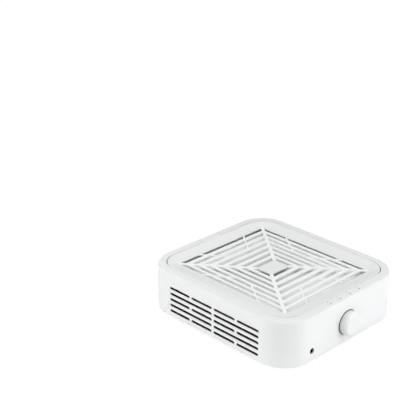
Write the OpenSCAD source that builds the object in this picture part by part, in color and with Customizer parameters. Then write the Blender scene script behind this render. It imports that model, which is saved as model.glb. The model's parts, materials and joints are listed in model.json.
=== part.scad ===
// Nail dust collector: a low rounded box with a lift-out grille, a drop-in
// pleated filter, a centrifugal fan and a speed knob. Millimetres, +Z up.
// Origin: middle of everything, knob included, on the table. -Y is the front,
// the side with the knob. Inside the modules Y is counted from the middle of
// the body; centred() then makes room for the knob.

/* [Body] */
// Width of the body, left to right seen from the knob side
body_w = 242; // [232:1:252]
// Depth of the body, knob side to back
body_d = 265; // [258:1:275]
// Height of the top rim above the table
top_z = 70; // [70:0.5:74]
// Radius of the four vertical corners, seen from above
corner_r = 43.5; // [40:0.5:46]
// Wall thickness of the body
wall = 2.6; // [2:0.1:3]
// Rounding of the top outer edge
top_round = 3; // [2:0.5:4]
// Height of the visible edge of the base cover
base_lip = 4; // [3.5:0.1:4.5]
// How far the rubber feet hold the body off the table
foot_h = 1.2; // [1:0.1:2]

/* [Grille panel] */
// Width of the flat rim between the body side and the panel
rim_w = 12.6; // [11:0.1:14]
// Gap all round between rim and panel
panel_gap = 0.5; // [0.3:0.05:1]
// How much tighter the corners of the opening are than those of the panel
corner_ease = 2.2; // [0:0.1:3]
// How far the slotted field sits below the rim
dish = 4.1; // [3:0.1:4.5]
// Thickness of the slotted field
grille_t = 1.5; // [1.4:0.1:2.6]
// Number of slot rings
rings = 7; // [7:1:7]
// Half width of the slotted field
field_x = 87.8; // [86:0.1:88]
// Half depth of the slotted field
field_y = 100.5; // [99:0.1:101]
// Ring pitch across the width
pitch_x = 10.54; // [10.4:0.02:10.6]
// Ring pitch across the depth
pitch_y = 13.24; // [13:0.02:13.3]
// Slot width in the left and right sectors
slot_x = 6.2; // [5:0.1:6.4]
// Slot width in the front and back sectors
slot_y = 7.4; // [6:0.1:8]
// Width of the four diagonal ribs
rib_diag = 5; // [2.5:0.1:6]
// Width of the eight short ribs
rib_short = 2.2; // [1.8:0.1:3]
// Width of the finger tab at the back
tab_w = 38; // [34:1:42]

/* [Vents] */
// Rows of vents on each side
vent_rows = 5; // [3:1:5]
// Height of one vent slot
vent_h = 4.4; // [4:0.1:4.8]
// Row pitch
vent_pitch = 8.76; // [8.6:0.02:8.9]
// Height of the top row above the table
vent_top = 46.8; // [46:0.1:48]
// Length of a whole row
vent_len = 166.6; // [150:0.1:168]
// Bridge between the slots of a row
vent_bridge = 3.4; // [3:0.1:5]
// Shift of the vent field towards the knob side
vent_shift = 1.7; // [0:0.1:3]

/* [Knob and socket] */
// Radius of the speed knob
knob_r = 16.8; // [16:0.1:17.5]
// How far the knob stands out
knob_out = 12; // [10:0.5:14]
// Rounding of the edge of the knob face
knob_f = 4; // [2:0.5:5]
// Gap between the knob and the edge of its hole
knob_gap = 1.2; // [0.8:0.1:1.6]
// Sideways place of the knob axis
knob_x = 1.6; // [-2:0.1:2]
// Height of the knob axis
knob_z = 31.6; // [31:0.1:32]
// Sideways place of the power socket
jack_x = -70; // [-72:0.5:-66]
// Height of the power socket axis
jack_z = 17.2; // [16:0.1:17.5]

/* [Filter] */
// Outer width of the filter cartridge
filter_w = 184; // [180:1:186]
// Outer depth of the filter cartridge
filter_d = 204; // [200:1:206]
// Height of the filter cartridge
filter_h = 22; // [20:0.5:25]
// Distance between pleats
pleat = 4; // [4:0.5:6]

/* [Fan] */
// Radius of the impeller
fan_r = 76; // [70:1:78]
// Number of impeller blades
blades = 11; // [9:1:13]

/* [Hidden] */
$fn = 96;

// Plan of the body
corner_x = body_w / 2 - corner_r;   // corner centre
corner_y = body_d / 2 - corner_r;
front_y = -body_d / 2;              // front face of the body
column = [corner_x + 22.3, corner_y + 22.3];  // corner screw columns
foot = [corner_x + 6, corner_y + 4];
guide_screw = [88, 84.5];           // one in each quadrant

// Heights of the base
base_z0 = foot_h;                   // underside of the base cover
base_z1 = base_z0 + 2.5;            // floor inside
seam_z = base_z0 + base_lip;        // top of the visible base edge
shell_z0 = seam_z + 0.15;
edge_z = base_z0 + 1.3;             // lower edge of the body as seen from the side
case_seat_z = base_z0 + 1.2;        // head seat of the case screws
foot_seat_z = base_z0 + 0.8;        // roof of the foot recess
guide_z = 7.5;                      // underside of the guide feet
guide_foot_t = 2.5;

// Ledge, well and filter
top_t = 3;
ledge_z = top_z - 7.6;              // the panel rests here
ledge_z0 = ledge_z - 2.4;           // underside of the ledge
ledge_in = 20;                      // ledge reaches this far in from the side
well_z1 = ledge_z0;                 // top of the well flange
well_flange_t = 2.2;
floor_z1 = top_z - 36;              // top of the well floor
floor_z0 = floor_z1 - 2;
filter_z0 = floor_z1 + 2;           // the gasket lies below
filter_z1 = filter_z0 + filter_h;
inlet_r = 54;
ring_screw_r = inlet_r + 6.2;       // circle of the inlet ring screws
ring_top_z = floor_z1 + 1.2;        // top of the inlet ring flange

// Motor mount
motor_z0 = base_z1 + 1;             // underside of the motor plate
motor_plate_z1 = motor_z0 + 1.6;
motor_screw_r = 27;
motor_screw_angles = [30, 150, 270];

// Knob recess; its heights are counted outwards from the front face
pocket_d = 5;                       // depth of the knob cup
pocket_r = knob_r + knob_gap;
cup_z0 = -pocket_d - 2;             // back of the knob cup
ear_x = pocket_r + 5.2;             // screws of the knob cup
ear_t = 1.4;

// Control board and motor lead
board_z = jack_z - 6.6;
board_top = board_z + 1.6;
board_x = [-84, 10];
board_y = [-124, -100];
board_screw_places = [[-79, -104.5], [-33, -119.5], [5, -104.5]];
wire_x = -23;                       // middle wire of the motor lead
wire_z = base_z1 + 3.25;

// Colours used more than once
knob_black = [0.08, 0.08, 0.085];
guide_black = [0.09, 0.09, 0.095];

// ---- placing ---------------------------------------------------------------

// moves the body back so that the knob, too, is inside an even footprint
module centred() { translate([0, knob_out / 2, 0]) children(); }

// copies to the four points [+-x, +-y]
module at_corners(point) {
    for (sx = [-1, 1], sy = [-1, 1]) translate([sx * point[0], sy * point[1], 0]) children();
}

// copies to -x and +x
module both_sides(x) {
    for (side = [-1, 1]) translate([side * x, 0, 0]) children();
}

// turned copies on a circle about Z
module on_circle(radius, angles) {
    for (a = angles) rotate([0, 0, a]) translate([radius, 0, 0]) children();
}

module at_motor_screws() { on_circle(motor_screw_r, motor_screw_angles) children(); }

module at_ring_screws() { on_circle(ring_screw_r, [45:90:315]) children(); }

module at_board_screws() {
    for (p = board_screw_places) translate([p[0], p[1], 0]) children();
}

module at_well_screws() {
    inset = 15.4;
    at_corners([body_w / 2 - inset, 60]) children();
    at_corners([48, body_d / 2 - inset]) children();
}

// child drawn along +Z, which then points out of the front face
module on_front_axis(x, z) { translate([x, front_y, z]) rotate([90, 0, 0]) children(); }

module on_knob_axis() { on_front_axis(knob_x, knob_z) children(); }

module on_jack_axis() { on_front_axis(jack_x, jack_z) children(); }

// ---- shared shapes ---------------------------------------------------------

module disc(radius, z0, z1) { translate([0, 0, z0]) cylinder(r = radius, h = z1 - z0); }

module post(radius, z0, z1) { disc(radius, z0, z1, $fn = 48); }

// round cutter, open upwards
module hole(radius, z0 = 0) { disc(radius, z0, z0 + 80, $fn = 32); }

module tube(outer_r, inner_r, z0, z1) {
    difference() {
        disc(outer_r, z0, z1);
        disc(inner_r, z0 - 1, z1 + 1);
    }
}

module rounded_rect(centre_x, centre_y, radius) {
    square([2 * (centre_x + radius), 2 * centre_y], center = true);
    square([2 * centre_x, 2 * (centre_y + radius)], center = true);
    at_corners([centre_x, centre_y]) circle(radius);
}

// rounded rectangle, given as an inset from the outline of the body
module outline(inset) { rounded_rect(corner_x, corner_y, corner_r - inset); }

module slab(inset, z0, z1) { translate([0, 0, z0]) linear_extrude(z1 - z0) outline(inset); }

// cutter for the panel opening, with tighter corners than the outline
module opening(z0) {
    translate([0, 0, z0]) linear_extrude(top_z + 1 - z0)
        rounded_rect(corner_x + corner_ease, corner_y + corner_ease,
                     corner_r - rim_w - corner_ease);
}

// sweeps a profile (x = distance out from the corner centre, y = height)
// around the rounded rectangle
module around() {
    for (k = [0:3]) {
        sx = (k == 0 || k == 3) ? 1 : -1;
        sy = (k < 2) ? 1 : -1;
        translate([sx * corner_x, sy * corner_y, 0]) rotate([0, 0, 90 * k])
            rotate_extrude(angle = 90) children();
    }
    for (a = [0, 180]) {
        rotate([0, 0, a]) translate([corner_x, 0, 0]) rotate([90, 0, 0])
            linear_extrude(2 * corner_y, center = true) children();
        rotate([0, 0, a + 90]) translate([corner_y, 0, 0]) rotate([90, 0, 0])
            linear_extrude(2 * corner_x, center = true) children();
    }
}

// full body outline up to the rim, top outer edge rounded
module rounded_slab(z0) {
    difference() {
        slab(0, z0, top_z);
        around() translate([corner_r - top_round, top_z - top_round]) difference() {
            square([top_round + 1, top_round + 1]);
            circle(top_round);
        }
    }
}

// pan-head screw with a cross slot, tip up; z is the seat of the head
module screw_up(radius, head_r, length, z) {
    head_z = z - head_r * 0.7;
    tip_z = z + length - 1;
    difference() {
        union() {
            disc(radius, z, tip_z, $fn = 32);
            translate([0, 0, tip_z]) cylinder(r1 = radius, r2 = radius * 0.4, h = 1, $fn = 32);
            disc(head_r, head_z, z, $fn = 40);
        }
        for (a = [0, 90]) rotate([0, 0, a])
            translate([-head_r * 0.55, -0.35, head_z - 1])
                cube([head_r * 1.1, 0.7, 1 + head_r * 0.4]);
    }
}

module screw_down(radius, head_r, length, z) {
    translate([0, 0, z]) rotate([180, 0, 0]) screw_up(radius, head_r, length, 0);
}

// straight rib between two points, 1 mm longer at each end
module rib2d(start, end, width) {
    span = end - start;
    translate(start) rotate(atan2(span[1], span[0]))
        translate([-1, -width / 2]) square([norm(span) + 2, width]);
}

// ---- body ------------------------------------------------------------------

// slot with round ends along Y, cut along X
module vent_slot(length) {
    straight = length - vent_h;
    rotate([0, 90, 0]) linear_extrude(14, center = true) {
        square([vent_h, straight], center = true);
        for (s = [-1, 1]) translate([0, s * straight / 2]) circle(vent_h / 2);
    }
}

// rows of four long slots alternate with rows of two
module vents() {
    row = vent_len + vent_bridge;
    both_sides(body_w / 2) for (i = [0:vent_rows - 1]) {
        count = (i % 2 == 0) ? 4 : 2;
        step = row / count;
        for (k = [0:count - 1])
            translate([0, -vent_shift - row / 2 + step * (k + 0.5), vent_top - i * vent_pitch])
                vent_slot(step - vent_bridge);
    }
}

// knob scale: four dots, each with a bar behind it that is wider at each step
module marks(height) {
    for (i = [0:3]) translate([(i - 1.5) * 20 - 1, front_y + 4.2, top_z - 0.3]) {
        cylinder(r = 1.05, h = height, $fn = 32);
        translate([-0.6 - 0.3 * i, 4.9, 0]) cube([1.2 + 0.6 * i, i == 0 ? 1.6 : 0.7, height]);
    }
}

module body_solid() {
    difference() {
        rounded_slab(shell_z0);
        slab(wall, shell_z0 - 1, top_z - top_t);
        opening(0);
    }
    // skirt round the opening and the ledge the panel rests on
    difference() {
        slab(rim_w - 2.2, ledge_z0, top_z - 1);
        opening(ledge_z);
        slab(ledge_in, 0, top_z + 1);
    }
    // screw columns in the corners
    at_corners(column) post(4.6, base_z1, ledge_z - 0.5);
    // walls of the finger pocket below the tab
    translate([-tab_w / 2 - 2.4, body_d / 2 - rim_w, ledge_z0])
        cube([tab_w + 4.8, rim_w - 1, top_z - 1.5 - ledge_z0]);
    // bosses for the knob cup
    on_knob_axis() both_sides(ear_x) post(2.6, -wall - 2.9, 0.5 - wall);
}

module body_cuts() {
    vents();
    // thinner wall behind the vents
    both_sides(body_w / 2 - 3.2) translate([0, -vent_shift, (vent_top + 13) / 2])
        cube([4, vent_len + 6, vent_top - 3.2], center = true);
    // finger pocket and gap for the tab
    translate([-tab_w / 2 - panel_gap, body_d / 2 - rim_w - 3, ledge_z])
        cube([tab_w + 2 * panel_gap, rim_w + 5, 20]);
    // hole for the knob, pilot holes for its cup
    on_knob_axis() {
        disc(pocket_r, -7, 1);
        both_sides(ear_x) disc(1, -9.8, -1.8, $fn = 32);
    }
    // socket hole
    on_jack_axis() disc(4.2, -7, 1, $fn = 64);
    // pilot holes
    at_corners(column) disc(1.25, base_z1 - 1, base_z1 + 12, $fn = 32);
    at_well_screws() disc(1.25, well_z1 - 1, well_z1 + 2, $fn = 32);
    // shallow pockets for the printed marks
    marks(1);
}

module body_shell() {
    centred() color("white") difference() {
        union() body_solid();
        body_cuts();
    }
}

module speed_marks() { centred() color("dimgray") marks(0.28); }

// ---- base ------------------------------------------------------------------

// ring that locates inside the shell
module base_spigot() {
    difference() {
        slab(wall + 0.3, base_z0, seam_z + 3);
        slab(wall + 2.1, 0, top_z);
        at_corners(column) disc(6, 0, 60);
        // low behind the vents
        both_sides(body_w / 2 - 4) translate([0, -vent_shift, seam_z + 5.6])
            cube([6, vent_len + 4, 10], center = true);
    }
}

module base_cover() {
    centred() color("whitesmoke") difference() {
        union() {
            slab(0, base_z0, base_z1);
            difference() {
                slab(0, base_z0, seam_z);
                slab(3.4, 0, top_z);
            }
            base_spigot();
            // stands for the board, guides and motor
            at_board_screws() post(3, base_z0, board_z);
            at_corners(guide_screw) post(4, base_z0, guide_z);
            at_motor_screws() post(4, base_z0, motor_z0);
        }
        // raised outer edge, so that the body seems to stand clear of the table
        difference() {
            slab(-1, 0, edge_z);
            slab(3, -1, edge_z + 1);
        }
        // screw holes, head recesses and foot recesses in the corners
        at_corners(column) {
            hole(1.7);
            disc(3.4, 0, case_seat_z, $fn = 40);
        }
        at_corners(foot) disc(9.1, 0, foot_seat_z);
        // pilot holes in the stands
        at_board_screws() hole(1, base_z1 - 0.5);
        at_corners(guide_screw) hole(1.25, base_z0 + 1);
        at_motor_screws() hole(1, base_z0 + 0.8);
    }
}

module rubber_feet() {
    foot_r = 9;
    foot_round = 0.6;
    inner_r = foot_r - foot_round;
    centred() color("black") at_corners(foot) rotate_extrude() {
        square([inner_r, foot_seat_z]);
        translate([0, foot_round]) square([foot_r, foot_seat_z - foot_round]);
        translate([inner_r, foot_round]) circle(foot_round, $fn = 32);
    }
}

module case_screws() {
    centred() color("silver") at_corners(column)
        screw_up(radius = 1.2, head_r = 2.7, length = 10, z = case_seat_z);
}

// ---- lift-out grille -------------------------------------------------------

panel_in = rim_w + panel_gap;     // inset of the panel from the body side
field_z1 = top_z - dish;
field_z0 = field_z1 - grille_t;
slot = [slot_x, slot_y];

// half sizes of the outer edge of slot ring k, counted inwards
function ring_half(k) = [field_x - k * pitch_x, field_y - k * pitch_y];

module slots2d() {
    innermost = ring_half(rings - 1) - slot;
    third = ring_half(2) - slot;    // the short ribs end inside the third ring
    difference() {
        for (k = [0:rings - 1]) difference() {
            square(2 * ring_half(k), center = true);
            square(2 * (ring_half(k) - slot), center = true);
        }
        for (sx = [-1, 1], sy = [-1, 1]) {
            rib2d([sx * field_x, sy * field_y], [sx * innermost[0], sy * innermost[1]],
                  rib_diag);
            translate([sx * field_x, sy * field_y]) circle(4.2);
            rib2d([sx * 46.5, sy * (field_y + 1)], [sx * 20, sy * third[1]], rib_short);
            rib2d([sx * (field_x + 1), sy * 54.5], [sx * third[0], sy * 15.5], rib_short);
        }
    }
}

// rim, slope and skirt of the dish: x = out from the corner centre, y = height
module dish_profile(panel_r, slope_r) {
    skirt_in = panel_r - 2.2;
    slope_top = top_z - grille_t - 0.4;
    polygon([
        [slope_r - 0.5, field_z1], [slope_r - 0.5, field_z0], [slope_r + 1, field_z0],
        [panel_r - 4.4, slope_top], [skirt_in, slope_top], [skirt_in, ledge_z],
        [panel_r, ledge_z], [panel_r, top_z - 0.15], [panel_r - 0.15, top_z],
        [panel_r - 1.8, top_z], [panel_r - 3.4, top_z - 0.25],
        [slope_r + 3.5, field_z1 + 0.35], [slope_r + 1.2, field_z1 + 0.05],
        [slope_r, field_z1]
    ]);
}

module finger_tab() {
    tab_t = 4.4;
    intersection() {
        translate([-tab_w / 2, body_d / 2 - panel_in - 2, top_z - tab_t])
            cube([tab_w, panel_in + 2, tab_t]);
        rounded_slab(top_z - tab_t);
    }
}

module grille_panel() {
    slope_r = 12;                  // corner radius where the slope meets the field
    centred() color("white") difference() {
        union() {
            around() dish_profile(corner_r - panel_in, slope_r);
            slab(corner_r - slope_r, field_z0, field_z1);
            finger_tab();
        }
        translate([0, 0, field_z0 - 4]) linear_extrude(dish + 12) slots2d();
    }
}

// ---- filter ----------------------------------------------------------------

// rectangular frame, inset from the outside of the cartridge
module filter_rect(inset, width, z0, z1) {
    size = [filter_w - 2 * inset, filter_d - 2 * inset];
    translate([0, 0, z0]) linear_extrude(z1 - z0) difference() {
        square(size, center = true);
        square([size[0] - 2 * width, size[1] - 2 * width], center = true);
    }
}

module filter_frame() {
    flange_t = 1.2;
    centred() color("gainsboro") {
        filter_rect(0, 2, filter_z0, filter_z1);
        for (z = [filter_z1 - flange_t, filter_z0]) filter_rect(1.5, 4.5, z, z + flange_t);
    }
}

// zigzag sheet; the folds run front to back
module filter_media() {
    count = floor((filter_w - 6) / pleat);
    z0 = filter_z0 + 1.8;
    z1 = filter_z1 - 1.8;
    half_t = 0.35;
    folds = [for (i = [0:count]) [(i - count / 2) * pleat, i % 2 == 0 ? z0 : z1]];
    upper = [for (i = [0:count]) folds[i] + [0, half_t]];
    lower = [for (i = [count:-1:0]) folds[i] - [0, half_t]];
    centred() color("white") rotate([90, 0, 0])
        linear_extrude(filter_d - 4.4, center = true) polygon(concat(upper, lower));
}

module filter_gasket() {
    centred() color("dimgray") filter_rect(0, 8, floor_z1, filter_z0);
}

// ---- filter well and inlet -------------------------------------------------

module filter_well() {
    well_in = ledge_in + 0.5;      // outer face of the well
    inner_in = well_in + 2.2;
    rib = [14, 1.6];               // length and thickness
    rib_gap = 1.4;                 // cartridge side to the middle of the rib
    rib_back = 30;                 // cartridge corner to the middle of the rib
    centred() color("whitesmoke") difference() {
        union() {
            difference() {
                slab(well_in, floor_z0, well_z1);
                slab(inner_in, floor_z1, top_z);
            }
            difference() {
                slab(rim_w - 1.6, well_z1 - well_flange_t, well_z1);
                slab(inner_in, 0, top_z);
            }
            // corner ribs that centre the cartridge
            translate([0, 0, floor_z1 - 0.5]) {
                at_corners([filter_w / 2 + rib_gap, filter_d / 2 - rib_back])
                    linear_extrude(9) square([rib[1], rib[0]], center = true);
                at_corners([filter_w / 2 - rib_back, filter_d / 2 + rib_gap])
                    linear_extrude(9) square(rib, center = true);
            }
        }
        disc(inlet_r + 3, floor_z0 - 1, floor_z0 + 9);
        // room for the columns
        at_corners(column) disc(5.4, 0, 80);
        at_well_screws() hole(1.5);
        at_ring_screws() hole(1);
    }
}

module well_screws() {
    centred() color("silver") at_well_screws()
        screw_up(radius = 1.2, head_r = 2.6, length = 4.2, z = well_z1 - well_flange_t);
}

// bell mouth that leads the air into the impeller
module inlet_ring() {
    throat_r = inlet_r - 2;
    centred() color([0.1, 0.1, 0.11]) difference() {
        rotate_extrude() difference() {
            union() {
                translate([throat_r, floor_z0 - 4]) square([2, 6]);
                translate([throat_r, floor_z0 - 0.2]) square([4.8, 2.2]);
                translate([throat_r, floor_z1]) square([10.5, ring_top_z - floor_z1]);
            }
            translate([throat_r, ring_top_z]) circle(0.8, $fn = 48);
        }
        at_ring_screws() hole(1);
    }
}

module ring_screws() {
    centred() color("silver") at_ring_screws()
        screw_down(radius = 0.98, head_r = 1.7, length = 3, z = ring_top_z);
}

// wire guard over the inlet: rings joined by spokes
module inlet_guard() {
    wire_t = 0.7;
    centred() color("gray") translate([0, 0, ring_top_z]) {
        for (ring_r = [10:8.6:inlet_r - 1])
            translate([0, 0, wire_t / 2]) rotate_extrude()
                translate([ring_r, 0]) square([1.1, wire_t], center = true);
        on_circle(9.8, [22.5:45:337.5]) translate([0, -0.6, 0])
            cube([inlet_r - 5, 1.2, wire_t]);
        cylinder(r = 10.2, h = wire_t);
    }
}

// ---- air guides ------------------------------------------------------------

// dark floor of the fan chamber
module fan_tray() {
    centred() color([0.08, 0.08, 0.085]) translate([0, 0, base_z1]) linear_extrude(1.2)
        difference() {
            intersection() {
                outline(5.2);
                square([400, 192], center = true);
            }
            circle(32);
            at_corners(guide_screw) circle(4.6);
        }
}

// arc behind the impeller with a straight wing to each side
module guide2d() {
    arc_r = fan_r + 7;             // inner face of the arc
    arc_t = 2;
    chord_y = arc_r * 0.72;        // the arc ends here
    chord_x = sqrt(pow(arc_r + arc_t / 2, 2) - pow(chord_y, 2));
    difference() {
        circle(arc_r + arc_t);
        circle(arc_r);
        translate([-200, -200]) square([400, 200 + chord_y]);
    }
    for (s = [-1, 1])
        rib2d([s * (chord_x + 0.3), chord_y + 0.8],
              [s * (body_w / 2 - wall - 6), chord_y + 27], arc_t);
}

module air_guide() {
    difference() {
        union() {
            translate([0, 0, base_z1 + 1.3]) linear_extrude(floor_z0 - base_z1 - 1.5) guide2d();
            // screw feet
            both_sides(guide_screw[0]) translate([0, guide_screw[1], guide_z]) {
                cylinder(r = 5, h = guide_foot_t, $fn = 48);
                translate([-4, -9.5, 0]) cube([8, 9.5, guide_foot_t]);
            }
        }
        both_sides(guide_screw[0]) translate([0, guide_screw[1], 0])
            cylinder(r = 1.6, h = 30, $fn = 32);
        // notches, one of them for the motor lead
        both_sides(wire_x) translate([-5, 70, 0]) cube([10, 20, wire_z + 1.6]);
    }
}

module rear_air_guide() { centred() color(guide_black) air_guide(); }

module front_air_guide() { centred() color(guide_black) rotate([0, 0, 180]) air_guide(); }

module guide_screws() {
    centred() color("silver") at_corners(guide_screw)
        screw_down(radius = 1.2, head_r = 2.6, length = 7, z = guide_z + guide_foot_t);
}

// ---- impeller --------------------------------------------------------------

hub_r = 24;                        // inside of the hub, outside of the rotor cup
hub_roof_z = 22.2;                 // underside of the hub roof
impeller_z0 = 8;
shroud_z0 = 27;                    // top of the blades

// backward-curved blade between the hub and the rim, as a thick arc
module blade2d() {
    arc_r = 60;
    half_t = 0.8;
    root = [35, 0];
    tip = (fan_r - 1) * [cos(-40), sin(-40)];
    chord = tip - root;
    length = norm(chord);
    normal = [chord[1], -chord[0]] / length;
    centre = (root + tip) / 2 + normal * sqrt(arc_r * arc_r - length * length / 4);
    intersection() {
        translate(centre) difference() {
            circle(arc_r + half_t);
            circle(arc_r - half_t);
        }
        translate(root) rotate(atan2(chord[1], chord[0]))
            translate([-2, -12]) square([length + 4, 24]);
        difference() {
            circle(fan_r - 0.6);
            circle(34);
        }
    }
}

module impeller() {
    hub_wall = 2.4;
    hub_top_z = hub_roof_z + 2.2;
    hub_round = 2;
    round_r = hub_r + hub_wall - hub_round;   // centre of the rounded edge
    round_z = hub_top_z - hub_round;
    blade_z0 = impeller_z0 + 1;
    centred() color([0.11, 0.11, 0.12]) {
        rotate_extrude() difference() {
            union() {
                translate([hub_r, impeller_z0]) square([fan_r - hub_r, 1.8]);
                translate([hub_r, impeller_z0]) square([hub_wall, round_z - impeller_z0]);
                translate([0, hub_roof_z]) square([round_r, hub_top_z - hub_roof_z]);
                translate([round_r, round_z]) circle(hub_round, $fn = 48);
            }
            square([hub_r, hub_roof_z]);
        }
        translate([0, 0, blade_z0]) linear_extrude(shroud_z0 - blade_z0)
            for (k = [0:blades - 1]) rotate([0, 0, k * 360 / blades]) blade2d();
    }
}

module impeller_shroud() {
    centred() color([0.13, 0.13, 0.14]) tube(fan_r, 55.5, shroud_z0, shroud_z0 + 1.6);
}

// ---- motor -----------------------------------------------------------------

magnet_r = 22.8;                   // outside of the magnet, inside of the rotor cup
shaft_r = 2;
bearing_r = 5;
stator_z0 = 10.2;
stator_h = 7.4;
tooth_w = 3;
tooth_angles = [0:40:320];
motor_board_z = motor_plate_z1 + 0.1;
lead_tab_y = -9;                   // front edge of the tab on the motor board

module rotor_cup() {
    centred() color("silver") difference() {
        disc(hub_r, 8.4, hub_roof_z);
        disc(magnet_r, 8, hub_roof_z - 1.2);
        disc(shaft_r, 0, 40, $fn = 48);
        on_circle(13, [0:60:300]) disc(2.4, 18, 26, $fn = 32);
    }
}

module rotor_magnet() { centred() color([0.2, 0.2, 0.22]) tube(magnet_r, 20.4, 9.5, 19); }

module motor_shaft() { centred() color("silver") disc(shaft_r, 7.5, hub_roof_z, $fn = 48); }

module bearing(z) { color("lightgray") tube(bearing_r, shaft_r + 0.04, z, z + 3.5); }

module upper_bearing() { centred() bearing(16.6); }

module lower_bearing() { centred() bearing(7.4); }

module stator_core() {
    centred() color([0.45, 0.45, 0.47]) translate([0, 0, stator_z0]) linear_extrude(stator_h)
        difference() {
            union() {
                circle(10.5);
                difference() {
                    circle(19.4);
                    circle(17.6);
                }
                for (a = tooth_angles) rotate(a)
                    translate([8, -tooth_w / 2]) square([10.5, tooth_w]);
            }
            circle(7.5);
            // gaps between the pole faces
            for (a = tooth_angles) rotate(a + 20) translate([17, -0.7]) square([4, 1.4]);
        }
}

// one coil around each tooth
module stator_windings() {
    inside = [tooth_w + 0.2, stator_h + 0.2];
    coil_t = 1.4;
    centred() color([0.72, 0.38, 0.18]) on_circle(11.4, tooth_angles)
        translate([0, 0, stator_z0 + stator_h / 2]) rotate([90, 0, 90]) linear_extrude(5.4)
            difference() {
                square([inside[0] + 2 * coil_t, inside[1] + 2 * coil_t], center = true);
                square(inside, center = true);
            }
}

// mounting plate with the bearing sleeve
module motor_base() {
    centred() color([0.75, 0.75, 0.77]) difference() {
        union() {
            disc(31, motor_z0, motor_plate_z1);
            disc(7.45, motor_z0, motor_z0 + 15.8);
        }
        disc(bearing_r, 7.3, 27.3);
        at_motor_screws() hole(1.6);
    }
}

module motor_board() {
    centred() color([0.05, 0.3, 0.15]) difference() {
        union() {
            disc(19, motor_board_z, motor_board_z + 1);
            translate([-27, lead_tab_y, motor_board_z]) cube([12, 12, 1]);
        }
        disc(7.6, 0, 40);
        translate([16, -2, 0]) cube([6, 4, 20]);
    }
}

module motor_screws() {
    centred() color("silver") at_motor_screws()
        screw_down(radius = 0.98, head_r = 1.9, length = 4, z = motor_plate_z1);
}

// ---- speed control, drawn along the knob axis ------------------------------

skirt_r = 13.5;                    // black skirt below the knob cap
core_r = 8;                        // core of the knob
pot_shaft_r = 3;
bush_r = 3.5;                      // bushing that carries the nut
terminal_z = cup_z0 - 4;           // middle of the pot terminals
terminal_drop = 14.5;              // pot axis to the terminal ends
terminal_places = [-5, 0, 5];

module speed_knob() {
    face_r = knob_r - knob_f;
    side_z = knob_out - knob_f;    // the edge rounding starts here
    seat_z = 3.4;
    centred() color("white") on_knob_axis() difference() {
        rotate_extrude() difference() {
            union() {
                translate([0, 0.3]) square([knob_r, side_z - 0.3]);
                translate([0, side_z - 1]) square([face_r, knob_f + 1]);
                translate([face_r, side_z]) circle(knob_f);
            }
            // seat of the skirt, hollow round the core, room for the nut
            translate([core_r, 0]) square([skirt_r - core_r, seat_z + 0.1]);
            translate([core_r, seat_z]) square([knob_r - 2 - core_r, side_z - seat_z]);
            translate([core_r, seat_z]) square([face_r - core_r, knob_out - 2.2 - seat_z]);
            square([5.6, 1.6]);
        }
        disc(pot_shaft_r, 0, knob_out - 3, $fn = 48);
        // dimple that shows the setting
        on_circle(10, [110]) disc(0.8, knob_out - 0.5, knob_out + 1.5, $fn = 32);
    }
}

module knob_skirt() {
    centred() color(knob_black) on_knob_axis() rotate_extrude() {
        translate([skirt_r - 2, -pocket_d + 0.6]) square([1.95, pocket_d + 2.8]);
        translate([core_r + 0.1, 1.2]) square([skirt_r - 9, 1.4]);
    }
}

// black cup behind the hole in the body, with a screw ear on each side
module knob_cup() {
    ear_r = 3.6;
    centred() color(knob_black) on_knob_axis() difference() {
        union() {
            disc(pocket_r + 2, cup_z0, -wall - 0.1);
            both_sides(ear_x) post(ear_r, cup_z0, cup_z0 + ear_t);
            translate([-ear_x, -ear_r, cup_z0]) cube([2 * ear_x, 2 * ear_r, ear_t]);
        }
        disc(pocket_r + 0.4, -pocket_d, -pocket_d + 10);
        disc(bush_r + 0.2, -20, 20, $fn = 48);
        both_sides(ear_x) hole(1.25, -20);
    }
}

module cup_screws() {
    centred() color("silver") on_knob_axis() both_sides(ear_x)
        screw_up(radius = 0.98, head_r = 1.9, length = 4.4, z = cup_z0);
}

module pot_shaft() {
    centred() color("lightgray") on_knob_axis()
        disc(pot_shaft_r, cup_z0 - 4, knob_out - 3.4, $fn = 48);
}

module pot_body() {
    centred() color([0.15, 0.15, 0.16]) on_knob_axis() difference() {
        union() {
            disc(8.2, cup_z0 - 8, cup_z0 - 0.1);
            // terminal block, bushing and terminals
            translate([-6, -11.5, terminal_z - 2]) cube([12, 6, 4]);
            disc(bush_r, cup_z0 - 0.2, cup_z0 + 6.6, $fn = 48);
            for (x = terminal_places)
                translate([x - 0.6, -terminal_drop, terminal_z - 0.4]) cube([1.2, 4, 0.8]);
        }
        disc(pot_shaft_r + 0.05, cup_z0 - 4.4, cup_z0 + 25.6, $fn = 48);
    }
}

module pot_nut() {
    washer_z1 = -pocket_d + 0.5;
    centred() color("silver") on_knob_axis() difference() {
        disc(5.2, washer_z1, washer_z1 + 1.8, $fn = 6);
        disc(bush_r, -20, 20, $fn = 48);
    }
}

module pot_washer() {
    centred() color("silver") on_knob_axis() difference() {
        disc(5.4, -pocket_d, -pocket_d + 0.5, $fn = 64);
        disc(bush_r, -20, 20, $fn = 48);
    }
}

// ---- power socket and board ------------------------------------------------

jack_bore_d = 12.5;                // depth of the bore behind the front face
jack_pin_d = 4.6;                  // depth of the pin tip
jack_pin_r = 1;
connector_y = -110;
connector_d = 6;

module dc_jack() {
    centred() color([0.06, 0.06, 0.06]) difference() {
        union() {
            on_jack_axis() disc(3.95, -6, -2, $fn = 64);
            translate([jack_x - 4.5, front_y + wall + 0.1, board_top]) cube([9, 13.5, 11]);
        }
        on_jack_axis() disc(3.1, -jack_bore_d, 0, $fn = 64);
    }
}

module jack_contact_pin() {
    centred() color("silver") {
        on_jack_axis() disc(jack_pin_r, -jack_bore_d, -jack_pin_d, $fn = 32);
        translate([jack_x, front_y + jack_pin_d, jack_z]) sphere(jack_pin_r, $fn = 32);
    }
}

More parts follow.
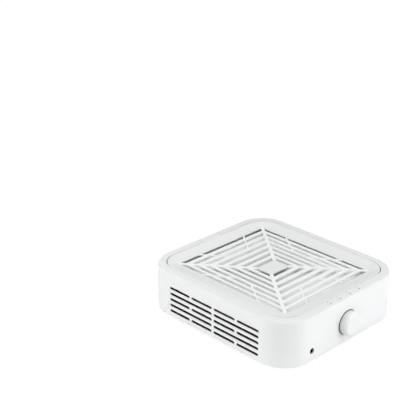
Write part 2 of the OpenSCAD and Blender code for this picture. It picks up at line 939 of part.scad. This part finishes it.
module control_board() {
    centred() color([0.04, 0.28, 0.14]) difference() {
        translate([board_x[0], board_y[0], board_z])
            cube([board_x[1] - board_x[0], board_y[1] - board_y[0], board_top - board_z]);
        at_board_screws() hole(1.5);
        // corner trimmed to clear the curved wall
        translate([board_x[0] - 1, board_y[0] - 1, 0]) cube([6, 4, 40]);
    }
}

module board_capacitor() {
    can_h = 12.5;
    centred() color([0.1, 0.12, 0.3]) translate([-54, -109, board_top]) {
        cylinder(r = 5, h = can_h);
        disc(4.4, can_h, can_h + 0.5);
    }
}

// body with a thinner tab standing on it
module board_transistor() {
    body_h = 9;
    centred() color([0.12, 0.12, 0.13]) translate([-45, -104, board_top]) {
        cube([10, 4, body_h]);
        translate([0, 0, body_h]) cube([10, 1.3, 6]);
    }
}

module board_connector() {
    centred() color("ivory") translate([wire_x, connector_y, board_top]) difference() {
        translate([-6, 0, 0]) cube([12, connector_d, 6]);
        translate([-5, 1, 1.5]) cube([10, connector_d - 2, 8]);
    }
}

module board_screws() {
    centred() color("silver") at_board_screws()
        screw_down(radius = 0.98, head_r = 1.9, length = 5.5, z = board_top);
}

// quarter bend of a wire, in the YZ plane, about the bend's centre
module bend(y, z, angle, radius, bend_r) {
    translate([0, y, z]) rotate([90, 0, 90]) rotate([0, 0, angle])
        rotate_extrude(angle = 90) translate([bend_r, 0]) circle(radius, $fn = 32);
}

// level wire from y0 to y1
module level_wire(y0, y1, z, radius) {
    translate([0, y0, z]) rotate([-90, 0, 0]) cylinder(r = radius, h = y1 - y0, $fn = 32);
}

// wire that leaves level, turns down, and runs on level
module wire(start_y, high_z, drop_y, low_z, end_y, radius, bend_r) {
    level_wire(start_y, drop_y - bend_r, high_z, radius);
    bend(drop_y - bend_r, high_z - bend_r, 0, radius, bend_r);
    translate([0, drop_y, 0]) disc(radius, low_z + bend_r, high_z - bend_r, $fn = 32);
    bend(drop_y + bend_r, low_z + bend_r, 180, radius, bend_r);
    level_wire(drop_y + bend_r, end_y, low_z, radius);
}

module motor_wires() {
    centred() color("red") for (k = [-1:1]) translate([wire_x + k * 2.4, 0, 0])
        wire(start_y = connector_y + connector_d + 0.1, high_z = board_top + 4.2,
             drop_y = -97, low_z = wire_z, end_y = lead_tab_y - 0.1,
             radius = 0.6, bend_r = 1.6);
}

module pot_leads() {
    centred() color([0.75, 0.6, 0.3]) for (x = terminal_places)
        translate([knob_x + x, front_y - terminal_z, 0])
            disc(0.45, board_top, knob_z - terminal_drop, $fn = 32);
}

body_shell();
base_cover();
rubber_feet();
case_screws();
grille_panel();
speed_marks();
filter_frame();
filter_media();
filter_gasket();
filter_well();
well_screws();
inlet_ring();
ring_screws();
inlet_guard();
fan_tray();
front_air_guide();
rear_air_guide();
guide_screws();
impeller();
impeller_shroud();
rotor_cup();
rotor_magnet();
motor_shaft();
upper_bearing();
lower_bearing();
stator_core();
stator_windings();
motor_base();
motor_board();
motor_screws();
speed_knob();
pot_shaft();
pot_body();
pot_nut();
pot_washer();
dc_jack();
jack_contact_pin();
control_board();
board_capacitor();
board_transistor();
board_connector();
board_screws();
motor_wires();
pot_leads();
knob_skirt();
knob_cup();
cup_screws();
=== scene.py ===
"""A square white air cleaner, built in metres with +Z up.

The knob side faces -Y and the left side faces -X. The slotted panel is level, and
the pleated filter lies under it.
"""
import json
import math

import bpy
import numpy as np
from mathutils import Matrix, Vector

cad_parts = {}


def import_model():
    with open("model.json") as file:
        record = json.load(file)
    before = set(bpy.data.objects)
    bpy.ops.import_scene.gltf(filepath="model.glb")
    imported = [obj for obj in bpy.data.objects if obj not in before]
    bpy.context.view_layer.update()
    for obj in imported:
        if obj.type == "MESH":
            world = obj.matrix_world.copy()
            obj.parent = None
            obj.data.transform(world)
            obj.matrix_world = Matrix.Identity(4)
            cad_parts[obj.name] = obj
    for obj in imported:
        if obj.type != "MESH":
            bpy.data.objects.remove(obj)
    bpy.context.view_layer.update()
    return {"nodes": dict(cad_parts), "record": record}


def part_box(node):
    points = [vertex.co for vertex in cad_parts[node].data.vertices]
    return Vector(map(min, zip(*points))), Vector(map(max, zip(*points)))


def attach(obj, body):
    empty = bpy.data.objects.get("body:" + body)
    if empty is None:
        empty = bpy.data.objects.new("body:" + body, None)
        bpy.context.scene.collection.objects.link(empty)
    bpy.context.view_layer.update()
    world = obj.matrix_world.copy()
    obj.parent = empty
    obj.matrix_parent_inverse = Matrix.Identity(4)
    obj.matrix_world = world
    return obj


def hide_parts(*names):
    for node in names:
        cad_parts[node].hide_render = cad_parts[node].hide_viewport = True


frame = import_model()
pieces = frame["nodes"]
scene = bpy.context.scene
MM = 0.001
body_low, body_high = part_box("body_shell")
body_y = (body_low.y + body_high.y) / 2     # middle of the body; the whole has another


# ---------------------------------------------------------------- material helpers

mats = {}                   # every material by name
NOISE_SPAN = (0.3, 0.7)     # the part of 0 to 1 that is stretched to a full range
WHITE = (1, 1, 1)


class Material:
    """A Principled material whose textures lie in object space (metres)."""

    def __init__(self, name):
        self.material = mats[name] = bpy.data.materials.new(name)
        self.material.use_nodes = True
        self.tree = self.material.node_tree
        self.tree.nodes.clear()
        self.out = self.node("OutputMaterial")
        self.shader = self.node("BsdfPrincipled")
        self.plug(self.out.inputs[0], self.shader.outputs[0])
        self.place = self.node("TexCoord").outputs["Object"]

    def plug(self, target, value):
        """Links a socket into the target, or stores a plain value there."""
        if isinstance(value, bpy.types.NodeSocket):
            self.tree.links.new(value, target)
        elif target.type == "RGBA":
            target.default_value = (*value, 1)
        else:
            target.default_value = value

    def fill(self, node, **inputs):
        for name, value in inputs.items():
            self.plug(node.inputs[name.replace("_", " ")], value)

    def node(self, kind, props=None, **inputs):
        node = self.tree.nodes.new("ShaderNode" + kind)
        for name, value in (props or {}).items():
            setattr(node, name, value)
        self.fill(node, **inputs)
        return node

    def set(self, **inputs):
        """Sets or links inputs of the Principled shader."""
        self.fill(self.shader, **inputs)

    def calc(self, operation, *values, clamp=False):
        node = self.node("Math", {"operation": operation, "use_clamp": clamp})
        for target, value in zip(node.inputs, values):
            self.plug(target, value)
        return node.outputs[0]

    def add(self, a, b, weights=(1.0, 1.0)):
        return self.calc("MULTIPLY_ADD", b, weights[1], self.calc("MULTIPLY", a, weights[0]))

    def split(self, vector):
        return self.node("SeparateXYZ", Vector=vector).outputs

    def span(self, value, to, over=(0.0, 1.0)):
        """Maps the range `over` to the range `to`."""
        node = self.node("MapRange", Value=value, From_Min=over[0], From_Max=over[1],
                         To_Min=to[0], To_Max=to[1])
        return node.outputs["Result"]

    def mix(self, factor, a, b, blend="MIX"):
        props = {"data_type": "RGBA", "blend_type": blend}
        return self.node("Mix", props, Factor=factor, A=a, B=b).outputs["Result"]

    def texture(self, kind, stretch=None, **inputs):
        place = self.place
        if stretch:
            place = self.node("Mapping", Vector=place, Scale=stretch).outputs[0]
        return self.node("Tex" + kind, Vector=place, **inputs)

    def noise(self, scale, detail=3.0, rough=0.55, distortion=0.0, stretch=None):
        return self.texture("Noise", stretch, Scale=scale, Detail=detail, Roughness=rough,
                            Distortion=distortion).outputs["Fac"]

    def cells(self, scale):
        return self.texture("Voronoi", Scale=scale).outputs["Distance"]

    def wave(self, scale, detail, stretch=None):
        return self.texture("Wave", stretch, Scale=scale, Detail=detail,
                            Distortion=0.0).outputs["Fac"]

    def openness(self, samples, distance):
        """1 in the open, falling to 0 in narrow gaps"""
        node = self.node("AmbientOcclusion", {"samples": samples}, Distance=distance)
        return node.outputs["AO"]

    def bump(self, height, strength, distance):
        bump = self.node("Bump", Height=height, Strength=strength, Distance=distance)
        self.set(Normal=bump.outputs[0])


def shade(colour, factor):
    return tuple(min(1.0, x * factor) for x in colour)


# ---------------------------------------------------------------- plastics

def paint_edge_shade(m, colour, amount):
    """Painted shade on rounded edges, where the surface turns from level to upright, damping their
    highlight.
    """
    up = m.split(m.node("NewGeometry").outputs["Normal"])["Z"]
    level = m.calc("MULTIPLY", up, up)
    turning = m.calc("MULTIPLY", level, m.calc("SUBTRACT", 1.0, level))
    return m.mix(m.span(turning, to=(0.0, amount), over=(0.0, 0.25)), colour, (0.0, 0.0, 0.0))


def moulded(name, base, rough, grain=0.00025, strength=0.12, vary=0.012, gap_shade=0.25,
            specular=0.5, coat=0.0, edge_shade=0.0):
    """Plastic: grain is its size in metres and vary the spread of tone; painted shade
    darkens narrow gaps and rounded edges by the amounts given for them."""
    m = Material(name)
    broad = m.noise(scale=9.0, detail=2.0)
    middle = m.noise(scale=160.0)
    fine = m.noise(scale=1.0 / grain, detail=2.0, rough=0.6)
    colour = m.mix(m.add(broad, middle, weights=(0.7, 0.3)),
                   shade(base, 1 - vary), shade(base, 1 + vary))
    if gap_shade:
        # painted shade: occlusion darkens the colour in narrow gaps
        gap_shade_mask = m.span(m.openness(samples=4, distance=0.0018), to=(gap_shade, 0.0), over=(0.25, 0.85))
        colour = m.mix(gap_shade_mask, colour, shade(base, 0.55))
    # painted shade on rounded edges
    if edge_shade:
        colour = paint_edge_shade(m, colour, edge_shade)
    gloss = m.add(middle, fine, weights=(0.5, 0.5))
    m.set(Base_Color=colour, Specular_IOR_Level=specular,
          Roughness=m.span(gloss, to=(rough - 0.05, rough + 0.06), over=NOISE_SPAN))
    m.bump(m.add(fine, middle, weights=(0.8, 0.2)), strength=strength, distance=0.00012)
    if coat:
        m.set(Coat_Weight=coat, Coat_Roughness=0.12)
    return m


# half sizes along X and Y, in metres
BAR_FIELD = (0.0885, 0.1012)    # the area of thin bars
PLATE = (0.0188, 0.0142)        # the closed plate in the middle of the bars


def louvred(name, base, bar_painted_light):
    """The panel's plastic, with painted light making its thin bars lighter by the given factor."""
    m = moulded(name, base, rough=0.44, gap_shade=0.2)
    colour = m.shader.inputs["Base Color"].links[0].from_socket
    place = m.split(m.place)
    away = [m.calc("ABSOLUTE", m.calc("SUBTRACT", place[axis], centre))
            for axis, centre in (("X", 0.0), ("Y", body_y))]
    field, plate = (
        m.calc("MULTIPLY", *(m.calc("LESS_THAN", far, half) for far, half in zip(away, halves)))
        for halves in (BAR_FIELD, PLATE))
    ring = m.calc("SUBTRACT", field, plate, clamp=True)
    # painted light: the bars outside the closed plate get a lighter colour
    m.set(Base_Color=m.mix(ring, colour, (bar_painted_light,) * 3, blend="MULTIPLY"))


CASE = (0.755, 0.76, 0.765)
moulded("case_white", CASE, rough=0.42, edge_shade=0.13)
louvred("grille_white", CASE, bar_painted_light=1.12)
moulded("knob_white", (0.745, 0.75, 0.755), rough=0.34, grain=0.0006, strength=0.04,
        gap_shade=0.2, coat=0.1)
moulded("black_plastic", (0.012, 0.012, 0.013), rough=0.5, grain=0.0003, strength=0.25,
        vary=0.15, gap_shade=0)
moulded("fan_black", (0.016, 0.016, 0.018), rough=0.42, grain=0.0005, strength=0.2,
        vary=0.2, gap_shade=0)
moulded("jack_black", (0.005, 0.005, 0.005), rough=0.5, grain=0.0004, strength=0.1,
        vary=0.1, gap_shade=0, specular=0.15)
moulded("filter_frame", (0.70, 0.71, 0.72), rough=0.5, grain=0.0004, strength=0.15)
moulded("print_grey", (0.10, 0.10, 0.105), rough=0.6, grain=0.0002, strength=0.2,
        vary=0.1, gap_shade=0)
moulded("component_blue", (0.02, 0.03, 0.12), rough=0.25, grain=0.001, strength=0.05,
        vary=0.1, gap_shade=0)
moulded("connector_ivory", (0.72, 0.68, 0.56), rough=0.45)
moulded("wire_red", (0.42, 0.02, 0.02), rough=0.4, grain=0.0008, strength=0.1,
        vary=0.08, gap_shade=0)


# ---------------------------------------------------------------- metals

def metal(name, base, rough, stretch=(1, 1, 40), scale=400.0, bump=0.15):
    m = Material(name)
    brushed = m.noise(scale=scale, detail=4.0, rough=0.6, stretch=stretch)
    spots = m.noise(scale=60.0, detail=2.0)
    colour = m.mix(m.add(brushed, spots, weights=(0.6, 0.4)), shade(base, 0.86), shade(base, 1.08))
    m.set(Base_Color=colour, Metallic=1.0,
          Roughness=m.span(brushed, to=(rough - 0.08, rough + 0.1), over=NOISE_SPAN))
    m.bump(brushed, strength=bump, distance=0.00005)


metal("steel", (0.60, 0.60, 0.61), rough=0.3)
metal("aluminium_cast", (0.66, 0.66, 0.67), rough=0.42, stretch=(1, 1, 1), scale=900, bump=0.3)
metal("magnet", (0.09, 0.09, 0.095), rough=0.6, stretch=(1, 1, 1), scale=700, bump=0.3)
metal("brass", (0.75, 0.60, 0.30), rough=0.25)


# ---------------------------------------------------------------- other materials

def rubber():
    m = Material("rubber_black")
    cloud = m.noise(scale=40)
    m.set(Base_Color=m.mix(cloud, (0.018, 0.018, 0.019), (0.035, 0.034, 0.034)),
          Roughness=m.span(cloud, to=(0.75, 0.9)), Specular_IOR_Level=0.3)
    m.bump(m.cells(scale=2500), strength=0.3, distance=0.0002)


def foam():
    m = Material("foam_grey")
    pores = m.cells(scale=900)
    m.set(Base_Color=m.mix(pores, (0.05, 0.05, 0.055), (0.16, 0.16, 0.17)),
          Roughness=m.span(m.noise(scale=120, detail=4), to=(0.85, 1.0)),
          Specular_IOR_Level=0.15)
    m.bump(pores, strength=0.9, distance=0.0006)


def paper():
    """the pleated filter paper"""
    m = Material("filter_white")
    coarse = m.noise(scale=700, detail=5, rough=0.7, stretch=(1, 0.25, 0.6), distortion=1.5)
    fine = m.noise(scale=1800, detail=3, rough=0.6, stretch=(0.3, 1, 1), distortion=0.8)
    cloud = m.noise(scale=35)
    m.set(Base_Color=m.mix(m.add(cloud, coarse, weights=(0.5, 0.5)),
                           (0.80, 0.805, 0.805), (0.90, 0.905, 0.905)),
          Roughness=m.span(coarse, to=(0.85, 1.0)),
          Specular_IOR_Level=0.1, Sheen_Weight=0.25)
    m.bump(m.add(coarse, fine, weights=(0.6, 0.4)), strength=0.45, distance=0.0003)


def fleece_glow(m, cloud, fibres):
    """Stands in for light scattered inside the slots: none under the closed plate in
    the middle, most where the slots leave the sheet uncovered."""
    bare = m.span(m.openness(samples=8, distance=0.03), to=(0.0, 0.31), over=(0.17, 0.50))
    mottle = m.span(m.add(cloud, fibres, weights=(0.3, 0.7)), to=(0.9, 1.1), over=NOISE_SPAN)
    # more at the rim of the sheet and towards the knob side
    place = m.split(m.place)
    off_y = m.calc("SUBTRACT", place["Y"], body_y)
    far = m.calc("MAXIMUM", m.calc("ABSOLUTE", place["X"]), m.calc("ABSOLUTE", off_y))
    rim = m.span(far, to=(0.72, 1.4), over=(0.040, 0.080))
    knob_side = m.span(off_y, to=(0.42, 0.0), over=(-0.045, -0.01))
    return m.calc("MULTIPLY", m.calc("MULTIPLY", bare, mottle), m.add(rim, knob_side))


def fleece():
    """the soft non-woven sheet that lies on the pleats"""
    m = Material("filter_fleece")
    along = m.noise(scale=900, detail=5, rough=0.75, stretch=(1, 0.35, 1), distortion=2.0)
    across = m.noise(scale=1300, detail=4, rough=0.7, stretch=(0.4, 1, 1), distortion=1.5)
    cloud = m.noise(scale=60)
    fibres = m.add(along, across, weights=(0.5, 0.5))
    # painted shade: the white sheet is coloured grey, so that the painted glow sets most of its
    # tone
    m.set(Base_Color=m.mix(m.add(cloud, fibres, weights=(0.4, 0.6)),
                           (0.33, 0.332, 0.332), (0.39, 0.392, 0.392)),
          Roughness=m.span(fibres, to=(0.9, 1.0)),
          Specular_IOR_Level=0.05, Sheen_Weight=0.15,
          Emission_Color=WHITE, Emission_Strength=fleece_glow(m, cloud, fibres))
    m.bump(fibres, strength=0.5, distance=0.0003)


def windings():
    m = Material("copper")
    turns = m.wave(scale=1500, detail=1)
    m.set(Base_Color=m.mix(turns, (0.30, 0.09, 0.03), (0.72, 0.30, 0.12)),
          Roughness=m.span(m.noise(scale=300), to=(0.2, 0.4)),
          Metallic=0.85, Coat_Weight=0.4)
    m.bump(turns, strength=0.8, distance=0.0002)


def laminations():
    m = Material("laminated_steel")
    layers = m.wave(scale=1, detail=0, stretch=(0.001, 0.001, 900))
    m.set(Base_Color=m.mix(layers, (0.16, 0.16, 0.17), (0.42, 0.42, 0.43)),
          Roughness=m.span(m.noise(scale=200), to=(0.35, 0.55)), Metallic=0.9)
    m.bump(layers, strength=0.5, distance=0.0002)


def circuit():
    m = Material("board_green")
    tracks = m.texture("Brick", Scale=140, Mortar_Size=0.03, Color1=(0.01, 0.13, 0.05),
                       Color2=(0.012, 0.16, 0.065), Mortar=(0.02, 0.24, 0.1))
    speckle = m.noise(scale=500)
    m.set(Base_Color=m.mix(m.span(speckle, to=(0.0, 0.35)), tracks.outputs["Color"],
                           (0.008, 0.10, 0.04)),
          Roughness=m.span(speckle, to=(0.2, 0.35)), Coat_Weight=0.3)
    m.bump(tracks.outputs["Fac"], strength=0.3, distance=0.0001)


for build in (rubber, foam, paper, fleece, windings, laminations, circuit):
    build()


# ---------------------------------------------------------------- CAD pieces

CRISP_ANGLE = 48        # degrees; steeper edges stay crisp in the shading
BEVEL_ANGLE = 32        # degrees; steeper edges are rounded
BEVELS = {              # edge rounding in mm; a piece that isn't here keeps its edges
    "body_shell": 0.15, "base_cover": 0.15, "grille_panel": 0.15, "speed_knob": 0.15,
    "knob_cup": 0.15, "knob_skirt": 0.2, "filter_frame": 0.25, "filter_well": 0.3,
    "front_air_guide": 0.2, "rear_air_guide": 0.2, "fan_tray": 0.2, "dc_jack": 0.15,
    "board_connector": 0.15, "board_transistor": 0.15, "rotor_cup": 0.3, "motor_base": 0.25,
    "pot_body": 0.2, "stator_core": 0.1, "stator_windings": 0.4, "impeller_shroud": 0.3,
    "impeller": 0.2, "board_capacitor": 0.3,
}


def paint(o, material):
    if not o.data.materials:
        o.data.materials.append(material)
    for i in range(len(o.data.materials)):
        o.data.materials[i] = material


def modify(o, name, kind, **settings):
    modifier = o.modifiers.new(name, kind)
    for key, value in settings.items():
        setattr(modifier, key, value)


def smoother():
    """Node group: smooth faces, with the steep edges kept crisp."""
    group = bpy.data.node_groups.new("smooth_by_angle", "GeometryNodeTree")
    for way in ("INPUT", "OUTPUT"):
        group.interface.new_socket("Geometry", in_out=way, socket_type="NodeSocketGeometry")
    new, link = group.nodes.new, group.links.new
    source, result = new("NodeGroupInput"), new("NodeGroupOutput")
    soft = new("GeometryNodeSetShadeSmooth")
    crisp = new("GeometryNodeSetShadeSmooth")
    crisp.domain = "EDGE"
    crisp.inputs["Shade Smooth"].default_value = False
    turn = new("GeometryNodeInputMeshEdgeAngle")
    steep = new("FunctionNodeCompare")
    steep.operation = "GREATER_THAN"
    steep.inputs[1].default_value = math.radians(CRISP_ANGLE)
    link(turn.outputs[0], steep.inputs[0])
    link(steep.outputs[0], crisp.inputs["Selection"])
    link(source.outputs[0], soft.inputs["Geometry"])
    link(soft.outputs[0], crisp.inputs["Geometry"])
    link(crisp.outputs[0], result.inputs[0])
    return group


def refine(o, bevel, smooth_group):
    """Joins the CAD facets, softens the sharp edges and shades the curves smooth."""
    modify(o, "weld", "WELD", merge_threshold=2e-6)
    if bevel:
        modify(o, "bevel", "BEVEL", width=bevel, segments=2, limit_method="ANGLE",
               angle_limit=math.radians(BEVEL_ANGLE), miter_outer="MITER_ARC",
               harden_normals=False, use_clamp_overlap=True)
    modify(o, "smooth", "NODES", node_group=smooth_group)
    modify(o, "normals", "WEIGHTED_NORMAL", mode="FACE_AREA", weight=80, keep_sharp=True)


slot_of = {part["node"]: part["material_slot"] for part in frame["record"]["subparts"]}
smooth_by_angle = smoother()
for name, piece in pieces.items():
    paint(piece, mats.get(slot_of[name], mats["case_white"]))
    refine(piece, BEVELS.get(name, 0.0) * MM, smooth_by_angle)
paint(pieces["dc_jack"], mats["jack_black"])


# ---------------------------------------------------------------- mesh helpers

def mesh_object(name, points, faces, smooth=True):
    mesh = bpy.data.meshes.new(name)
    mesh.from_pydata(points, [], faces)
    o = bpy.data.objects.new(name, mesh)
    scene.collection.objects.link(o)
    if smooth:
        for face in mesh.polygons:
            face.use_smooth = True
    return o


def sheet(name, points, columns, thickness, material):
    """A thin sheet through a grid of points, given row by row."""
    faces = [(a, a + 1, a + columns + 1, a + columns)
             for start in range(0, len(points) - columns, columns)
             for a in range(start, start + columns - 1)]
    o = mesh_object(name, points, faces)
    o.data.validate()
    modify(o, "sheet", "SOLIDIFY", thickness=thickness, offset=0)
    paint(o, material)
    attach(o, "filter")
    return o


# ---------------------------------------------------------------- pleated media

media_low, media_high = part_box("filter_media")
FOLD = 4.0 * MM                     # along X, from a valley to the next crest
FOLD_STEPS = 10
PLEAT_ROWS = 72
MEDIA_GAP = 0.35 * MM               # left free above and below the folds
fold_count = int(round((media_high.x - media_low.x) / FOLD))
fold_start = -fold_count * FOLD / 2
valley_z, crest_z = media_low.z + MEDIA_GAP, media_high.z - MEDIA_GAP

BEAD_RADIUS = 0.55 * MM
BEAD_WIDEN = 1.4                    # width along Y against height
BEAD_SIDES = 8
BEAD_DEPTH = 0.15 * MM + 0.5 * MM   # from the crests down to the bead's middle
BEAD_SAG = 0.25 * MM                # further drop away from the crests


def pleats():
    random = np.random.default_rng(7)
    phase = random.uniform(0, 2 * math.pi, (fold_count + 1, 3))
    swing = random.uniform(0.05, 0.22, (fold_count + 1, 3)) * MM
    along = np.linspace(0, fold_count, fold_count * FOLD_STEPS + 1)     # in folds
    fold = np.minimum(along.astype(int), fold_count - 1)
    part = along - fold
    # rounded triangle wave
    triangle = np.where(fold % 2 == 0, part, 1 - part)
    profile = 0.72 * triangle + 0.28 * (0.5 - 0.5 * np.cos(np.pi * triangle))
    points = []
    for y in np.linspace(media_low.y + 0.1 * MM, media_high.y - 0.1 * MM, PLEAT_ROWS):
        t = (y - media_low.y) / (media_high.y - media_low.y)
        wobble = sum(swing[:, i] * np.sin(2 * math.pi * (i + 1.3) * t + phase[:, i])
                     for i in range(3))
        shift = wobble[fold] * (1 - part) + wobble[fold + 1] * part
        shift[0] = shift[-1] = 0
        # the crests dip unevenly
        dip = 0.25 * MM * (1 + np.sin(along * 1.7 + 9 * t)) * 0.5 * (triangle > 0.8)
        xs = fold_start + along * FOLD + shift
        zs = valley_z + (crest_z - valley_z) * profile - dip
        points += [(x, y, z) for x, z in zip(xs, zs)]
    o = sheet("filter_pleats", points, len(along), 0.45 * MM, mats["filter_white"])
    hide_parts("filter_media")


def beads():
    """hot-melt beads along X that hold the pleats apart"""
    points, faces = [], []
    xs = np.arange(fold_start + FOLD * 0.5, -fold_start, FOLD * 0.5)
    for y in np.arange(-80, 81, 40) * MM + body_y:
        first = len(points)
        for i, x in enumerate(xs):
            on_crest = i % 4 == 1
            z = crest_z - BEAD_DEPTH - (0.0 if on_crest else BEAD_SAG)
            for side in range(BEAD_SIDES):
                angle = side * 2 * math.pi / BEAD_SIDES
                points.append((x, y + BEAD_RADIUS * BEAD_WIDEN * math.cos(angle),
                               z + BEAD_RADIUS * math.sin(angle)))
            if i:
                b = first + i * BEAD_SIDES
                a = b - BEAD_SIDES
                for side in range(BEAD_SIDES):
                    after = (side + 1) % BEAD_SIDES
                    faces.append((a + side, a + after, b + after, b + side))
        last = len(points) - BEAD_SIDES
        faces.append(tuple(first + side for side in reversed(range(BEAD_SIDES))))
        faces.append(tuple(last + side for side in range(BEAD_SIDES)))
    o = mesh_object("pleat_beads", points, faces)
    paint(o, mats["filter_frame"])
    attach(o, "filter")


pleats()
beads()


# ---------------------------------------------------------------- fleece sheet

FLEECE_COLUMNS, FLEECE_ROWS = 150, 168
FLEECE_INSET = 2.4 * MM     # from the outside of the filter frame
FLEECE_DROP = 1.38 * MM     # from the top of the filter frame
FLAT_RIM = 4.5 * MM         # width of the flat border
RISE_WIDTH = 9 * MM         # width over which the sheet rises inside that border


def prefilter():
    low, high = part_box("filter_frame")
    half_x = (high.x - low.x) / 2 - FLEECE_INSET
    half_y = (high.y - low.y) / 2 - FLEECE_INSET
    centre_y = (low.y + high.y) / 2
    xs, ys = np.meshgrid(np.linspace(-half_x, half_x, FLEECE_COLUMNS),
                         np.linspace(-half_y, half_y, FLEECE_ROWS))
    rise = np.minimum(*(np.clip((half - FLAT_RIM - abs(place)) / RISE_WIDTH, 0, 1)
                        for half, place in ((half_x, xs), (half_y, ys))))
    rise = rise * rise * (3 - 2 * rise)
    # rises a little off the pleats, with the folds just showing and loose waves
    quilt = 0.06 * np.cos(2 * np.pi * xs / FOLD) * (0.7 + 0.3 * np.sin(ys * 90 + 1.0))
    waves = (0.16 * np.sin(xs * 120 + 1.7 * np.sin(ys * 60))
             + 0.12 * np.sin(ys * 150 + 0.8 * np.sin(xs * 75 + 2.0)))
    zs = high.z - FLEECE_DROP + rise * (0.42 + quilt + waves) * MM
    points = [(float(x), float(y) + centre_y, float(z))
              for x, y, z in zip(xs.ravel(), ys.ravel(), zs.ravel())]
    o = sheet("prefilter_fleece", points, FLEECE_COLUMNS, 0.28 * MM, mats["filter_fleece"])


prefilter()


# ---------------------------------------------------------------- stage

FLOOR_HALF = 12.0
AMBIENT = 0.02              # world light that falls on the object
BACKDROP = 1.02             # world brightness that the camera sees
SOFTBOX_SIZE = 1.1
SOFTBOX_DISTANCE = 2.0
SOFTBOX_TARGET = Vector((0, 0, 0.03))
SOFTBOXES = (               # azimuth and elevation in degrees, watts
    (-140, 14, 5.8), (-110, 14, 3.0), (-45, 14, 1.5), (20, 14, 18.1), (60, 14, 6.8),
    (110, 14, 3.6), (160, 14, 8.2), (-110, 42, 14.4), (20, 42, 10.7), (-90, 65, 20.8),
)


def direction(azimuth, elevation):
    """Unit vector from radians; azimuth 0 is the knob side, -90 degrees the left side."""
    return Vector((math.sin(azimuth) * math.cos(elevation),
                   -math.cos(azimuth) * math.cos(elevation),
                   math.sin(elevation)))


def camera_switch(tree, others, seen, output):
    """Shows `seen` to the camera and `others` to all other rays."""
    path = tree.nodes.new("ShaderNodeLightPath")
    switch = tree.nodes.new("ShaderNodeMixShader")
    tree.links.new(path.outputs["Is Camera Ray"], switch.inputs[0])
    tree.links.new(others.outputs[0], switch.inputs[1])
    tree.links.new(seen.outputs[0], switch.inputs[2])
    tree.links.new(switch.outputs[0], output.inputs[0])


def floor():
    """An evenly lit white sweep, with a trace of shadow where the object touches it."""
    s = FLOOR_HALF
    o = mesh_object("floor", [(-s, -s, 0), (s, -s, 0), (s, s, 0), (-s, s, 0)],
                    [(0, 1, 2, 3)], smooth=False)
    m = Material("floor_pale")
    cloud = m.noise(scale=3)
    m.set(Base_Color=m.mix(cloud, (0.88, 0.88, 0.88), (0.90, 0.90, 0.90)),
          Roughness=m.span(cloud, to=(0.75, 0.9)), Specular_IOR_Level=0.1)
    shadow = m.openness(samples=8, distance=0.02)
    glow = m.node("Emission", Strength=m.span(shadow, to=(0.97, 1.03), over=NOISE_SPAN))
    camera_switch(m.tree, m.shader, glow, m.out)
    paint(o, m.material)


def world():
    studio = bpy.data.worlds.new("studio")
    scene.world = studio
    studio.use_nodes = True
    tree = studio.node_tree
    ambient = tree.nodes["Background"]
    ambient.inputs["Color"].default_value = (*WHITE, 1)
    ambient.inputs["Strength"].default_value = AMBIENT
    backdrop = tree.nodes.new("ShaderNodeBackground")
    backdrop["camera_only"] = True
    backdrop.inputs["Strength"].default_value = BACKDROP
    camera_switch(tree, ambient, backdrop, tree.nodes["World Output"])


def softboxes():
    for i, (azimuth, elevation, watts) in enumerate(SOFTBOXES):
        light = bpy.data.lights.new("softbox_%d" % i, "AREA")
        light.shape = "SQUARE"
        light.size = SOFTBOX_SIZE
        light.energy = watts
        o = bpy.data.objects.new("softbox_%d" % i, light)
        place = direction(math.radians(azimuth), math.radians(elevation)) * SOFTBOX_DISTANCE
        o.location = place
        o.rotation_euler = (SOFTBOX_TARGET - place).to_track_quat("-Z", "Y").to_euler()
        scene.collection.objects.link(o)


floor()
world()
softboxes()


# ---------------------------------------------------------------- camera

CAMERA_PLACE = Vector((-0.954596, -0.830891 + body_y, 0.702826))
CAMERA_ANGLES = (-44.822, 23.449, 0.306)    # azimuth, elevation and roll in degrees
LENS = 87.229731                            # mm, on a sensor 36 mm wide


def camera():
    azimuth, elevation, roll = map(math.radians, CAMERA_ANGLES)
    back = direction(azimuth, elevation)
    level = (-back).cross(Vector((0, 0, 1))).normalized()
    upright = level.cross(-back)
    right = level * math.cos(roll) + upright * math.sin(roll)
    up = -level * math.sin(roll) + upright * math.cos(roll)
    data = bpy.data.cameras.new("camera")
    data.sensor_width = 36
    data.lens = LENS
    data.clip_start = 0.02
    o = bpy.data.objects.new("camera", data)
    pose = Matrix((right, up, back)).transposed().to_4x4()
    pose.translation = CAMERA_PLACE
    o.matrix_world = pose
    scene.collection.objects.link(o)
    scene.camera = o


camera()
scene.view_settings.view_transform = "Standard"
scene.view_settings.look = "None"
scene.cycles.use_denoising = True
scene.cycles.max_bounces = 12
scene.cycles.diffuse_bounces = 8
